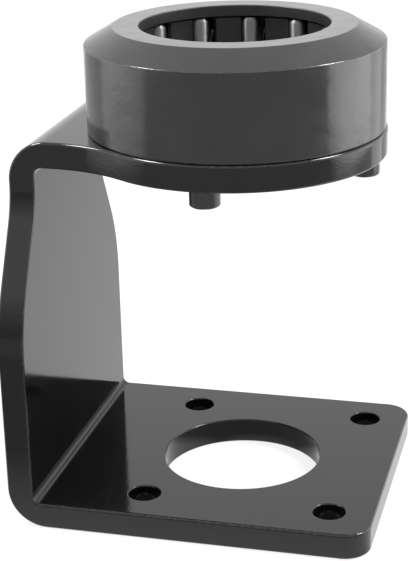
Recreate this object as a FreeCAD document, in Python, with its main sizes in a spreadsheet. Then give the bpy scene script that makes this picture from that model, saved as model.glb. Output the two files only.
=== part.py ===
"""Tool holder assembly fixture: a bent steel bracket that carries a roller clamping head.

The head grips a 63 mm tool holder collar between twelve sprung rollers, so that the holder can be
turned freely one way and is held the other way while its clamping nut is worked.

Millimetres, +Z up. The origin is on the head's axis, at the underside of the base. The web of the
bracket is at -X and the free end of the base at +X.
"""
import FreeCAD
import Part
import Sketcher
import math
import os
import re

SIZES = [
    ("plate_thickness", 9, "thickness of the bracket's steel plate"),
    ("frame_height", 131, "underside of the base to the seat of the head"),
    ("web_reach", 70, "outer face of the web to the head's axis"),
    ("base_reach", 54, "free end of the base to the head's axis"),
    ("base_width", 105.5, "width of the base and of the lower web"),
    ("neck_width", 66, "width of the upper web, where it bends into the disc"),
    ("bend_radius", 2.4, "inside radius of both bends"),
    ("bend_thinning", 2.1, "way that the outside of a bend is rounder than the plate asks"),
    ("neck_drop", 7.4, "upper bend down to the corner where the web's slope begins"),
    ("slope_angle", 27.5, "slope of the web's sides, from upright"),
    ("neck_radius", 30, "rounding at the top of the slope"),
    ("shoulder_radius", 57, "rounding at the foot of the slope"),
    ("corner_radius", 9, "corners at the free end of the base"),
    ("disc_step", 0.6, "step from the head's side out to the upper flange's rim"),
    ("plate_edge", 1, "bevel along the plate's edges"),
    ("base_bore", 56, "hole in the base, in line with the head"),
    ("bolt_hole", 11, "mounting holes, for 10 mm bolts"),
    ("bolt_edge", 15.3, "mounting holes to the free end and to the sides"),
    ("bolt_pitch", 64.5, "mounting holes from row to row along the base"),
    ("hole_edge", 0.5, "bevel at the holes"),
    ("collar_diameter", 63, "tool holder collar that the head takes"),
    ("collar_play", 0.1, "clearance of the housing's lip round the collar"),
    ("head_wall", 11.65, "resting rollers out to the housing's side"),
    ("head_gap", 0.5, "top of the cage up to the lip"),
    ("lip_thickness", 3.8, "thickness of the housing's top lip"),
    ("crown_width", 9.6, "bevel round the housing's top, measured across"),
    ("crown_height", 5.55, "the same bevel, measured down"),
    ("lip_edge", 0.4, "bevel round the lip's opening"),
    ("turned_edge", 0.6, "small bevels on the housing and the cage"),
    ("cage_floor", 2.9, "ring under the rollers"),
    ("cage_ledge", 0.3, "step from the cage's bore out to the upper flange's hole"),
    ("roller_count", 12, "rollers in the cage"),
    ("roller_diameter", 7, "diameter of a roller"),
    ("roller_length", 27, "length of a roller"),
    ("roller_edge", 0.8, "bevel at a roller's ends"),
    ("roller_bite", 0.15, "way that the resting rollers stand inside the collar's size"),
    ("roller_proud", 1.85, "way that the resting rollers stand out of the cage's bore"),
    ("roller_sink", 0.2, "top of the rollers under the top of the cage"),
    ("roller_turn", 4.5, "angle of the first roller about the head's axis"),
    ("roller_play", 0.1, "clearance round a roller"),
    ("ramp_angle", 12, "slope of a ramp against the tangent"),
    ("ramp_depth", 1.25, "resting rollers out past the housing's bore"),
    ("spring_gap", 1.5, "room behind a resting roller for its spring"),
    ("spring_leaf", 0.3, "thickness of a spring leaf"),
    ("spring_width", 2.4, "width of a spring leaf"),
    ("spring_span", 18, "length of a spring leaf"),
    ("screw_count", 4, "cap screws that hold the head"),
    ("screw_wall", 6.5, "axis of a cap screw to the housing's side"),
    ("screw_diameter", 6, "thread of a cap screw"),
    ("screw_length", 20, "cap screw under its head"),
    ("screw_head", 10, "diameter of a cap screw's head"),
    ("screw_head_height", 6, "height of a cap screw's head"),
    ("screw_socket", 5, "hexagon socket across its flats"),
    ("screw_socket_depth", 3, "depth of the hexagon socket"),
    ("screw_edge", 0.5, "bevels at a cap screw's ends"),
    ("screw_play", 0.6, "screw hole in the plate, over the thread"),
]
NAMES = {name for name, value, note in SIZES}

FORMULAS = {
    "bend_size": "plate_thickness + bend_radius + bend_thinning",
    "slope_top": "frame_height - bend_size - neck_drop",
    "slope_foot": "slope_top - (base_width - neck_width) / 2 / tan(slope_angle * 1 deg)",
    "resting_inset": "collar_diameter / 2 - roller_bite",
    "roller_centre": "resting_inset + roller_diameter / 2",
    "head_radius": "resting_inset + roller_diameter + head_wall",
    "lip_radius": "collar_diameter / 2 + collar_play",
    "housing_inside": "resting_inset + roller_diameter - ramp_depth",
    "cage_inside": "resting_inset + roller_proud",
    "cage_top": "frame_height + cage_floor + roller_play + roller_length + roller_sink",
    "lip_underside": "cage_top + head_gap",
    "head_top": "lip_underside + lip_thickness",
    "roller_foot": "frame_height + cage_floor + roller_play",
    "slot_half": "roller_diameter / 2 + roller_play",
    "slot_end": "roller_diameter / 2 + spring_gap",
    "disc_radius": "head_radius + disc_step",
    "screw_reach": "head_radius - screw_wall",
    "far_bolts": "base_reach - bolt_edge",
    "near_bolts": "far_bolts - bolt_pitch",
    "bolt_side": "base_width / 2 - bolt_edge",
}

doc = FreeCAD.newDocument("tool_holder_fixture")
sheet = doc.addObject("Spreadsheet::Sheet", "sizes")
for row, (name, value, note) in enumerate(SIZES, start=1):
    sheet.set(f"A{row}", note)
    sheet.set(f"B{row}", str(value))
    sheet.setAlias(f"B{row}", name)
doc.recompute()


def bound(formula):
    """The formula with each name worked out or pointed at its cell."""
    def meaning(word):
        name = word.group()
        if name in FORMULAS:
            return "(" + bound(FORMULAS[name]) + ")"
        return "sizes." + name if name in NAMES else name
    return re.sub(r"[a-z_]+", meaning, formula)


def size(formula):
    """The number that a formula gives now."""
    return float(sheet.evalExpression(bound(formula)))


def new_body(label):
    body = doc.addObject("PartDesign::Body", label)
    body.Label = label
    return body


def new_sketch(body, name, plane, offset=FreeCAD.Placement()):
    sketch = body.newObject("Sketcher::SketchObject", name)
    origin_plane = next(o for o in body.Origin.OriginFeatures if o.Role == plane)
    sketch.AttachmentSupport = [(origin_plane, "")]
    sketch.MapMode = "FlatFace"
    sketch.AttachmentOffset = offset
    return sketch


def pin_point(sketch, geometry, end, across, up):
    """Holds one point of a sketch at two formulas from the sketch's origin."""
    for kind, formula in (("DistanceX", across), ("DistanceY", up)):
        number = sketch.addConstraint(
            Sketcher.Constraint(kind, -1, 1, geometry, end, size(formula))
        )
        sketch.setExpression(f"Constraints[{number}]", bound(formula))


def draw_polygon(sketch, corners):
    """A closed outline of straight lines; each corner is a pair of formulas."""
    places = [FreeCAD.Vector(size(x), size(y), 0) for x, y in corners]
    count = len(corners)
    lines = [
        sketch.addGeometry(Part.LineSegment(places[i], places[(i + 1) % count]))
        for i in range(count)
    ]
    for i, line in enumerate(lines):
        following = lines[(i + 1) % count]
        sketch.addConstraint(Sketcher.Constraint("Coincident", line, 2, following, 1))
        pin_point(sketch, line, 1, *corners[i])


def draw_circle(sketch, x, y, radius):
    centre = FreeCAD.Vector(size(x), size(y), 0)
    circle = sketch.addGeometry(Part.Circle(centre, FreeCAD.Vector(0, 0, 1), size(radius)))
    pin_point(sketch, circle, 3, x, y)
    number = sketch.addConstraint(Sketcher.Constraint("Radius", circle, size(radius)))
    sketch.setExpression(f"Constraints[{number}]", bound(radius))


def pad(body, name, sketch, length, symmetric=False):
    feature = body.newObject("PartDesign::Pad", name)
    feature.Profile = sketch
    feature.setExpression("Length", bound(length))
    if symmetric:
        feature.SideType = "Symmetric"
    doc.recompute()
    return feature


def pocket(body, name, sketch, length, upwards=False):
    """Cuts a sketch's outline out of the body, against its normal or, upwards, along it."""
    before = body.Shape.Volume
    feature = body.newObject("PartDesign::Pocket", name)
    feature.Profile = sketch
    feature.setExpression("Length", bound(length))
    feature.Reversed = upwards
    doc.recompute()
    if not feature.Shape.Volume < before:
        raise ValueError(f"{name} cuts nothing")
    return feature


def revolve(body, name, sketch):
    feature = body.newObject("PartDesign::Revolution", name)
    feature.Profile = sketch
    feature.ReferenceAxis = (sketch, ["V_Axis"])
    feature.Angle = 360
    doc.recompute()
    return feature


def polar_pattern(body, name, feature, count):
    pattern = body.newObject("PartDesign::PolarPattern", name)
    pattern.Originals = [feature]
    z_axis = next(o for o in body.Origin.OriginFeatures if o.Role == "Z_Axis")
    pattern.Axis = (z_axis, [""])
    pattern.Angle = 360
    pattern.setExpression("Occurrences", bound(count))
    body.Tip = pattern
    doc.recompute()
    return pattern


def edges_through(feature, points):
    """The names of the edges that pass through the given points."""
    names = []
    for point in points:
        probe = Part.Vertex(point)
        distances = [edge.distToShape(probe)[0] for edge in feature.Shape.Edges]
        nearest = min(distances)
        if nearest > 0.01:
            raise ValueError(f"{feature.Label} has no edge at {point}")
        names.append(f"Edge{distances.index(nearest) + 1}")
    return sorted(set(names))


def dress(body, kind, name, measure, formula, points):
    """A Fillet or Chamfer on the edges through some points of the body."""
    base = body.Tip
    feature = body.newObject("PartDesign::" + kind, name)
    feature.Base = (base, edges_through(base, points))
    feature.setExpression(measure, bound(formula))
    doc.recompute()
    return feature


def side_pair(x, y, z):
    """A point and its mirror image on the other side of the bracket."""
    return [FreeCAD.Vector(x, y, z), FreeCAD.Vector(x, -y, z)]


def make_bracket():
    """One plate, cut and bent: base, web with a slope to a narrower neck, and a round flange."""
    body = new_body("bracket")
    web_outside = -size("web_reach")
    web_inside = web_outside + size("plate_thickness")
    half_base = size("base_width / 2")
    half_neck = size("neck_width / 2")
    top = size("frame_height")
    thickness = size("plate_thickness")

    profile = new_sketch(body, "bracket_side", "XZ_Plane")
    draw_polygon(profile, [
        ("-web_reach", "0"),
        ("base_reach", "0"),
        ("base_reach", "plate_thickness"),
        ("plate_thickness - web_reach", "plate_thickness"),
        ("plate_thickness - web_reach", "frame_height - plate_thickness"),
        ("0", "frame_height - plate_thickness"),
        ("0", "frame_height"),
        ("-web_reach", "frame_height"),
    ])
    pad(body, "bracket_plate", profile, "base_width", symmetric=True)

    for side, sign in (("left", "-"), ("right", "")):
        slope = new_sketch(body, f"bracket_slope_{side}", "YZ_Plane")
        slope.setExpression("AttachmentOffset.Base.z", bound("-web_reach"))
        draw_polygon(slope, [
            (f"{sign}base_width / 2", "slope_foot"),
            (f"{sign}neck_width / 2", "slope_top"),
            (f"{sign}neck_width / 2", "frame_height"),
            (f"{sign}base_width / 2", "frame_height"),
        ])
        pocket(body, f"bracket_taper_{side}", slope, "web_reach", upwards=True)
    in_web = (web_outside + web_inside) / 2
    dress(body, "Fillet", "bracket_shoulders", "Radius", "shoulder_radius",
          side_pair(in_web, half_base, size("slope_foot")))
    dress(body, "Fillet", "bracket_neck", "Radius", "neck_radius",
          side_pair(in_web, half_neck, size("slope_top")))

    outside_bends = [FreeCAD.Vector(web_outside, 0, 0), FreeCAD.Vector(web_outside, 0, top)]
    dress(body, "Fillet", "bracket_outer_bends", "Radius", "bend_size", outside_bends)
    inside_bends = [
        FreeCAD.Vector(web_inside, 0, thickness),
        FreeCAD.Vector(web_inside, 0, top - thickness),
    ]
    dress(body, "Fillet", "bracket_inner_bends", "Radius", "bend_radius", inside_bends)

    flange = new_sketch(body, "bracket_flange", "XY_Plane")
    flange.setExpression("AttachmentOffset.Base.z", bound("frame_height - plate_thickness"))
    draw_flange(flange)
    pad(body, "bracket_disc", flange, "plate_thickness")

    free_corners = side_pair(size("base_reach"), half_base, thickness / 2)
    dress(body, "Fillet", "bracket_corners", "Radius", "corner_radius", free_corners)

    rim = size("disc_radius")
    outlines = [
        FreeCAD.Vector(size("base_reach"), 0, 0),
        FreeCAD.Vector(size("base_reach"), 0, thickness),
        FreeCAD.Vector(rim, 0, top),
        FreeCAD.Vector(rim, 0, top - thickness),
    ]
    dress(body, "Chamfer", "bracket_edges", "Size", "plate_edge", outlines)

    holes = new_sketch(body, "base_holes", "XY_Plane")
    draw_circle(holes, "0", "0", "base_bore / 2")
    for x in ("far_bolts", "near_bolts"):
        for y in ("-bolt_side", "bolt_side"):
            draw_circle(holes, x, y, "bolt_hole / 2")
    pocket(body, "base_drilling", holes, "plate_thickness", upwards=True)

    seat = new_sketch(body, "disc_holes", "XY_Plane")
    seat.setExpression("AttachmentOffset.Base.z", bound("frame_height"))
    draw_circle(seat, "0", "0", "cage_inside + cage_ledge")
    for x, y in (("1", "0"), ("0", "1"), ("-1", "0"), ("0", "-1")):
        draw_circle(seat, f"{x} * screw_reach", f"{y} * screw_reach",
                    "(screw_diameter + screw_play) / 2")
    pocket(body, "disc_drilling", seat, "plate_thickness")

    rims = []
    for z in (0, thickness):
        rims.append(FreeCAD.Vector(size("base_bore / 2"), 0, z))
        for x in (size("far_bolts"), size("near_bolts")):
            rims += side_pair(x + size("bolt_hole / 2"), size("bolt_side"), z)
    for z in (top - thickness, top):
        rims.append(FreeCAD.Vector(size("cage_inside + cage_ledge"), 0, z))
    dress(body, "Chamfer", "bracket_rims", "Size", "hole_edge", rims)


def draw_flange(sketch):
    """The round flange and the flares that lead the neck into it."""
    bend_end = size("bend_size - web_reach")
    half_neck = size("neck_width / 2")
    disc = size("disc_radius")
    flare = (bend_end ** 2 + half_neck ** 2 - disc ** 2) / (2 * (disc - half_neck))
    share = disc / (disc + flare)
    meet = FreeCAD.Vector(bend_end * share, (half_neck + flare) * share, 0)
    up = FreeCAD.Vector(0, 0, 1)
    origin = FreeCAD.Vector(0, 0, 0)
    meeting = math.atan2(meet.y, meet.x)
    rim = sketch.addGeometry(Part.ArcOfCircle(Part.Circle(origin, up, disc), -meeting, meeting))
    far_centre = FreeCAD.Vector(bend_end, half_neck + flare, 0)
    near_centre = FreeCAD.Vector(bend_end, -half_neck - flare, 0)
    opening = math.atan2(meet.y - far_centre.y, meet.x - far_centre.x)
    far_flare = sketch.addGeometry(
        Part.ArcOfCircle(Part.Circle(far_centre, up, flare), -math.pi / 2, opening)
    )
    near_flare = sketch.addGeometry(
        Part.ArcOfCircle(Part.Circle(near_centre, up, flare), -opening, math.pi / 2)
    )
    neck = sketch.addGeometry(Part.LineSegment(
        FreeCAD.Vector(bend_end, half_neck, 0), FreeCAD.Vector(bend_end, -half_neck, 0)
    ))
    add = sketch.addConstraint
    add(Sketcher.Constraint("Coincident", rim, 3, -1, 1))
    number = add(Sketcher.Constraint("Radius", rim, disc))
    sketch.setExpression(f"Constraints[{number}]", bound("disc_radius"))
    pin_point(sketch, neck, 1, "bend_size - web_reach", "neck_width / 2")
    pin_point(sketch, neck, 2, "bend_size - web_reach", "-neck_width / 2")
    add(Sketcher.Constraint("Coincident", far_flare, 1, neck, 1))
    add(Sketcher.Constraint("Coincident", near_flare, 2, neck, 2))
    add(Sketcher.Constraint("Vertical", far_flare, 3, neck, 1))
    add(Sketcher.Constraint("Vertical", near_flare, 3, neck, 2))
    add(Sketcher.Constraint("Tangent", far_flare, 2, rim, 2))
    add(Sketcher.Constraint("Tangent", near_flare, 1, rim, 1))


def roller_frame(number, height):
    """The place of a roller: +X along its ramp, +Y out towards the ramp."""
    angle = size("roller_turn") + 360 * number / size("roller_count")
    across = math.radians(angle)
    centre = size("roller_centre")
    place = FreeCAD.Vector(centre * math.cos(across), centre * math.sin(across), height)
    turn = angle - 90 + size("ramp_angle")
    return FreeCAD.Placement(place, FreeCAD.Rotation(FreeCAD.Vector(0, 0, 1), turn))


def draw_roller_slot(sketch):
    """A round seat for the resting roller, straight on along the ramp to the spring's wall."""
    half = size("slot_half")
    end = size("slot_end")
    up = FreeCAD.Vector(0, 0, 1)
    origin = FreeCAD.Vector(0, 0, 0)
    seat = sketch.addGeometry(
        Part.ArcOfCircle(Part.Circle(origin, up, half), math.pi / 2, 3 * math.pi / 2)
    )
    corners = [
        FreeCAD.Vector(0, -half, 0), FreeCAD.Vector(end, -half, 0),
        FreeCAD.Vector(end, half, 0), FreeCAD.Vector(0, half, 0),
    ]
    inner, wall, ramp = [
        sketch.addGeometry(Part.LineSegment(start, stop))
        for start, stop in zip(corners, corners[1:])
    ]
    add = sketch.addConstraint
    add(Sketcher.Constraint("Coincident", seat, 3, -1, 1))
    add(Sketcher.Constraint("Tangent", seat, 2, inner, 1))
    add(Sketcher.Constraint("Coincident", inner, 2, wall, 1))
    add(Sketcher.Constraint("Coincident", wall, 2, ramp, 1))
    add(Sketcher.Constraint("Tangent", ramp, 2, seat, 1))
    add(Sketcher.Constraint("Horizontal", inner))
    add(Sketcher.Constraint("Horizontal", ramp))
    add(Sketcher.Constraint("Vertical", wall))
    number = add(Sketcher.Constraint("Radius", seat, half))
    sketch.setExpression(f"Constraints[{number}]", bound("slot_half"))
    number = add(Sketcher.Constraint("DistanceX", -1, 1, wall, 1, end))
    sketch.setExpression(f"Constraints[{number}]", bound("slot_end"))


def make_housing():
    """A turned ring with a top lip, twelve ramps inside and four tapped holes from below."""
    body = new_body("housing")
    section = new_sketch(body, "housing_section", "XZ_Plane")
    draw_polygon(section, [
        ("housing_inside", "frame_height"),
        ("head_radius - turned_edge", "frame_height"),
        ("head_radius", "frame_height + turned_edge"),
        ("head_radius", "head_top - crown_height"),
        ("head_radius - crown_width", "head_top"),
        ("lip_radius + lip_edge", "head_top"),
        ("lip_radius", "head_top - lip_edge"),
        ("lip_radius", "lip_underside"),
        ("housing_inside", "lip_underside"),
    ])
    revolve(body, "housing_ring", section)
    slot = new_sketch(body, "housing_slot", "XY_Plane", roller_frame(0, size("frame_height")))
    draw_roller_slot(slot)
    ramp = pocket(body, "housing_ramp", slot, "lip_underside - frame_height", upwards=True)
    polar_pattern(body, "housing_ramps", ramp, "roller_count")
    tapping = new_sketch(body, "housing_tapping", "XY_Plane")
    tapping.setExpression("AttachmentOffset.Base.z", bound("frame_height"))
    draw_circle(tapping, "screw_reach", "0", "screw_diameter / 2")
    hole = pocket(body, "housing_hole", tapping, "screw_length - plate_thickness + screw_edge",
                  upwards=True)
    polar_pattern(body, "housing_holes", hole, "screw_count")


def make_cage():
    """A ring with twelve slots that are open at the top; it stands on the flange."""
    body = new_body("roller_cage")
    section = new_sketch(body, "cage_section", "XZ_Plane")
    draw_polygon(section, [
        ("cage_inside", "frame_height"),
        ("housing_inside", "frame_height"),
        ("housing_inside", "cage_top"),
        ("cage_inside + turned_edge", "cage_top"),
        ("cage_inside", "cage_top - turned_edge"),
    ])
    revolve(body, "cage_ring", section)
    slot = new_sketch(body, "cage_slot", "XY_Plane",
                      roller_frame(0, size("frame_height + cage_floor")))
    draw_roller_slot(slot)
    window = pocket(body, "cage_window", slot, "cage_top - frame_height - cage_floor",
                    upwards=True)
    polar_pattern(body, "cage_windows", window, "roller_count")


def make_roller(number):
    body = new_body(f"roller_{number + 1:02d}")
    section = new_sketch(body, f"roller_section_{number + 1:02d}", "XZ_Plane")
    draw_polygon(section, [
        ("0", "0"),
        ("roller_diameter / 2 - roller_edge", "0"),
        ("roller_diameter / 2", "roller_edge"),
        ("roller_diameter / 2", "roller_length - roller_edge"),
        ("roller_diameter / 2 - roller_edge", "roller_length"),
        ("0", "roller_length"),
    ])
    revolve(body, f"roller_turning_{number + 1:02d}", section)
    body.Placement = roller_frame(number, size("roller_foot"))


def make_spring(number):
    """A bowed leaf that stands between the cage's wall and its roller."""
    body = new_body(f"roller_spring_{number + 1:02d}")
    leaf = new_sketch(body, f"spring_leaf_{number + 1:02d}", "XZ_Plane")
    half_span = size("spring_span / 2")
    wall = size("slot_end - spring_leaf")
    crest = size("slot_half")
    rise = wall - crest
    radius = (half_span ** 2 + rise ** 2) / (2 * rise)
    centre = FreeCAD.Vector(crest + radius, 0, 0)
    swing = math.asin(half_span / radius)
    axis = FreeCAD.Vector(0, 0, 1)
    bows = [
        sketch_arc(leaf, centre, axis, bow, math.pi - swing, math.pi + swing)
        for bow in (radius, radius - size("spring_leaf"))
    ]
    outer, inner = bows
    ends = []
    for end in (1, 2):
        ends.append(leaf.addGeometry(Part.LineSegment(
            leaf.getPoint(outer, end), leaf.getPoint(inner, end)
        )))
        leaf.addConstraint(Sketcher.Constraint("Coincident", ends[-1], 1, outer, end))
        leaf.addConstraint(Sketcher.Constraint("Coincident", ends[-1], 2, inner, end))
    leaf.addConstraint(Sketcher.Constraint("Coincident", outer, 3, inner, 3))
    leaf.addConstraint(Sketcher.Constraint("PointOnObject", outer, 3, -1))
    pad(body, f"spring_strip_{number + 1:02d}", leaf, "spring_width", symmetric=True)
    body.Placement = roller_frame(number, size("roller_foot + roller_length / 2"))


def sketch_arc(sketch, centre, axis, radius, start, stop):
    circle = Part.Circle(centre, axis, radius)
    return sketch.addGeometry(Part.ArcOfCircle(circle, start, stop))


def make_screw(number):
    """A socket head cap screw, put in from below; its origin is under its head."""
    body = new_body(f"cap_screw_{number + 1}")
    section = new_sketch(body, f"screw_section_{number + 1}", "XZ_Plane")
    draw_polygon(section, [
        ("0", "-screw_head_height"),
        ("screw_head / 2 - screw_edge", "-screw_head_height"),
        ("screw_head / 2", "screw_edge - screw_head_height"),
        ("screw_head / 2", "0"),
        ("screw_diameter / 2", "0"),
        ("screw_diameter / 2", "screw_length - screw_edge"),
        ("screw_diameter / 2 - screw_edge", "screw_length"),
        ("0", "screw_length"),
    ])
    revolve(body, f"screw_turning_{number + 1}", section)
    socket = new_sketch(body, f"screw_socket_{number + 1}", "XY_Plane")
    socket.setExpression("AttachmentOffset.Base.z", bound("-screw_head_height"))
    corner = "screw_socket / (2 * cos(30 deg))"
    draw_polygon(socket, [
        (f"{corner} * cos({60 * i} deg)", f"{corner} * sin({60 * i} deg)") for i in range(6)
    ])
    pocket(body, f"screw_broaching_{number + 1}", socket, "screw_socket_depth", upwards=True)
    angle = 360 * number / size("screw_count")
    reach = size("screw_reach")
    across = math.radians(angle)
    place = FreeCAD.Vector(
        reach * math.cos(across), reach * math.sin(across), size("frame_height - plate_thickness")
    )
    body.Placement = FreeCAD.Placement(place, FreeCAD.Rotation(FreeCAD.Vector(0, 0, 1), angle))


def check_and_write():
    """Stops on any failed feature or bad solid, then writes one file for each piece."""
    doc.recompute()
    for item in doc.Objects:
        faults = [word for word in item.State if word in ("Invalid", "Error")]
        if faults:
            raise ValueError(f"{item.Label}: {faults}")
    bodies = [item for item in doc.Objects if item.TypeId == "PartDesign::Body"]
    for body in bodies:
        if body.Shape.isNull() or not body.Shape.isValid():
            raise ValueError(f"{body.Label} has no valid solid")
    os.makedirs("parts", exist_ok=True)
    for body in bodies:
        body.Shape.exportStep(f"parts/{body.Label}.step")


make_bracket()
make_housing()
make_cage()
for roller in range(int(size("roller_count"))):
    make_roller(roller)
    make_spring(roller)
for screw in range(int(size("screw_count"))):
    make_screw(screw)
check_and_write()
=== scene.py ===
"""Looks of a tool holder fixture: a bent black bracket that carries a twelve-roller clamping head.

Sizes are written in millimetres, the meshes are in metres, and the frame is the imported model's own.
"""
import math

import bpy
from mathutils import Matrix, Vector
from mathutils.geometry import delaunay_2d_cdt


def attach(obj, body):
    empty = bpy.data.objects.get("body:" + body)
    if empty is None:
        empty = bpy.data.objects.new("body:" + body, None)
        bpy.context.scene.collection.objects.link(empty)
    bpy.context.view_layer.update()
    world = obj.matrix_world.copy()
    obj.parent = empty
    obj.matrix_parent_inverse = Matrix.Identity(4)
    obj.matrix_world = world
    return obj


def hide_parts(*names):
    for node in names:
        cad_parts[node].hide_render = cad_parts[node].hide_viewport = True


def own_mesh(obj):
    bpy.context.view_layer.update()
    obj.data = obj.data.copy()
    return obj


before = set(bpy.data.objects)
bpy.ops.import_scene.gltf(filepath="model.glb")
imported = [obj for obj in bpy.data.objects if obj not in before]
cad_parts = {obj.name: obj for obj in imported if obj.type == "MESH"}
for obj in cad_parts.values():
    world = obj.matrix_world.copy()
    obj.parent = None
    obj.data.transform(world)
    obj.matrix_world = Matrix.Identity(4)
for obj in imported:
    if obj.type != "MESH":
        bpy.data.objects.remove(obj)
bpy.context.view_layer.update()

# The bracket.
# One 9 mm steel plate, cut to its outline, bent twice and coated in gloss black.
# Its edges were rounded before coating, and the bores were drilled from above.

MM = 0.001
PLATE = 9.0
BEND_INSIDE = 2.4
BEND_OUTSIDE = 13.5
BEND_LINE = -56.5           # x at which both bends begin
LOWER_BEND_TOP = 13.5       # z at which the web begins, over the lower bend
UPPER_BEND_FOOT = 117.5     # z at which the web ends, under the upper bend
FREE_END = 54.0
HALF_BASE = 52.75
HALF_NECK = 33.0
END_CORNER = 9.0
BASE_BORE = 28.0            # radii of the plate's holes
BOLT_HOLE = 5.5
FLANGE_BORE = 33.5
SCREW_HOLE = 3.3
BOLT_ROWS = (38.7, -25.8)
BOLT_SIDES = (-37.45, 37.45)
SCREW_CIRCLE = 43.5
SLOPE = math.radians(27.5)
SLOPE_TOP = 110.1
SHOULDER_ROUND = 57.0
NECK_ROUND = 30.0
DISC_RADIUS = 50.6
BEND_STEPS = 28
EDGE_ROUND = 1.0
HOLE_ROUND = 0.5

BEND_RUN = (BEND_OUTSIDE - PLATE / 2) * math.pi / 2
WEB_START = FREE_END - BEND_LINE + BEND_RUN
WEB_END = WEB_START + UPPER_BEND_FOOT - LOWER_BEND_TOP
DISC_START = WEB_END + BEND_RUN


def bend_section(turn, depth):
    """Reach from the bend's centre at a turn, and how far the way out leans off the radius.

    The inside of a bend is tighter than its outside: flat, a small round, and flat again.
    """
    gap = BEND_OUTSIDE - PLATE
    inset = gap - BEND_INSIDE
    cosine, sine = math.cos(turn), math.sin(turn)
    if inset * cosine >= gap * sine:
        inner, heading = gap / cosine, 0.0
    elif inset * sine >= gap * cosine:
        inner, heading = gap / sine, math.pi / 2
    else:
        middle = inset * (sine + cosine)
        inner = middle + math.sqrt(middle ** 2 - 2 * inset ** 2 + BEND_INSIDE ** 2)
        heading = math.atan2(inner * sine - inset, inner * cosine - inset)
    share = depth / PLATE
    return inner + (BEND_OUTSIDE - inner) * share, (heading - turn) * (1 - share) + turn


def plate_place(run, depth):
    """Where a point of the flat plate lies once bent, with the directions along and out of it.

    run is measured from the free end of the base, depth from the plate's inner face.
    """
    reach = BEND_OUTSIDE - PLATE + depth
    if run <= WEB_START - BEND_RUN:
        return (FREE_END - run, LOWER_BEND_TOP - reach), (-1.0, 0.0), (0.0, -1.0)
    if run < WEB_START:
        turn = (run - WEB_START + BEND_RUN) / BEND_RUN * math.pi / 2
        reach, lean = bend_section(turn, depth)
        place = (BEND_LINE - reach * math.sin(turn), LOWER_BEND_TOP - reach * math.cos(turn))
        return place, (-math.cos(lean), math.sin(lean)), (-math.sin(lean), -math.cos(lean))
    if run <= WEB_END:
        return (BEND_LINE - reach, LOWER_BEND_TOP + run - WEB_START), (0.0, 1.0), (-1.0, 0.0)
    if run < DISC_START:
        turn = (run - WEB_END) / BEND_RUN * math.pi / 2
        reach, lean = bend_section(turn, depth)
        place = (BEND_LINE - reach * math.cos(turn), UPPER_BEND_FOOT + reach * math.sin(turn))
        return place, (math.sin(lean), math.cos(lean)), (-math.cos(lean), math.sin(lean))
    return (BEND_LINE + run - DISC_START, UPPER_BEND_FOOT + reach), (1.0, 0.0), (0.0, 1.0)


def plate_arc(centre, radius, start, stop, steps, hollow=False):
    """Points of an arc of the flat outline, each with the direction away from the steel."""
    away = -1.0 if hollow else 1.0
    points = []
    for step in range(steps + 1):
        angle = start + (stop - start) * step / steps
        side = (math.cos(angle), math.sin(angle))
        place = (centre[0] + radius * side[0], centre[1] + radius * side[1])
        points.append((*place, away * side[0], away * side[1]))
    return points


def plate_outline():
    """The flat plate's outline, clockwise: up one side from the free end and down the other."""
    right, half_turn = math.pi / 2, math.pi
    half = plate_arc((END_CORNER, HALF_BASE - END_CORNER), END_CORNER, half_turn, right, 14)
    bend_runs = [BEND_RUN * step / BEND_STEPS for step in range(BEND_STEPS + 1)]
    half += [(WEB_START - BEND_RUN + run, HALF_BASE, 0.0, 1.0) for run in bend_runs]
    spread = (HALF_BASE - HALF_NECK) / math.tan(SLOPE)
    foot = WEB_START + SLOPE_TOP - spread - LOWER_BEND_TOP - SHOULDER_ROUND * math.tan(SLOPE / 2)
    half += plate_arc((foot, HALF_BASE - SHOULDER_ROUND), SHOULDER_ROUND,
                      right, right - SLOPE, 14)
    top = WEB_START + SLOPE_TOP - LOWER_BEND_TOP + NECK_ROUND * math.tan(SLOPE / 2)
    half += plate_arc((top, HALF_NECK + NECK_ROUND), NECK_ROUND,
                      -right - SLOPE, -right, 12, hollow=True)
    half += [(WEB_END + run, HALF_NECK, 0.0, 1.0) for run in bend_runs]
    flare = (BEND_LINE ** 2 + HALF_NECK ** 2 - DISC_RADIUS ** 2) / (2 * (DISC_RADIUS - HALF_NECK))
    meeting = math.atan2(HALF_NECK + flare, BEND_LINE)
    half += plate_arc((DISC_START, HALF_NECK + flare), flare,
                      -right, meeting - half_turn, 20, hollow=True)[1:]
    half += plate_arc((DISC_START - BEND_LINE, 0.0), DISC_RADIUS, meeting, 0.0, 66)[1:]
    mirrored = [(run, -across, along, -side) for run, across, along, side in half[-2::-1]]
    return half + mirrored


def plate_hole(x, y, radius, steps, on_disc=False):
    """A round hole's edge, anticlockwise in the flat plate."""
    run = DISC_START - BEND_LINE + x if on_disc else FREE_END - x
    return plate_arc((run, y), radius, 0.0, 2 * math.pi, steps, hollow=True)[:-1]


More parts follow.
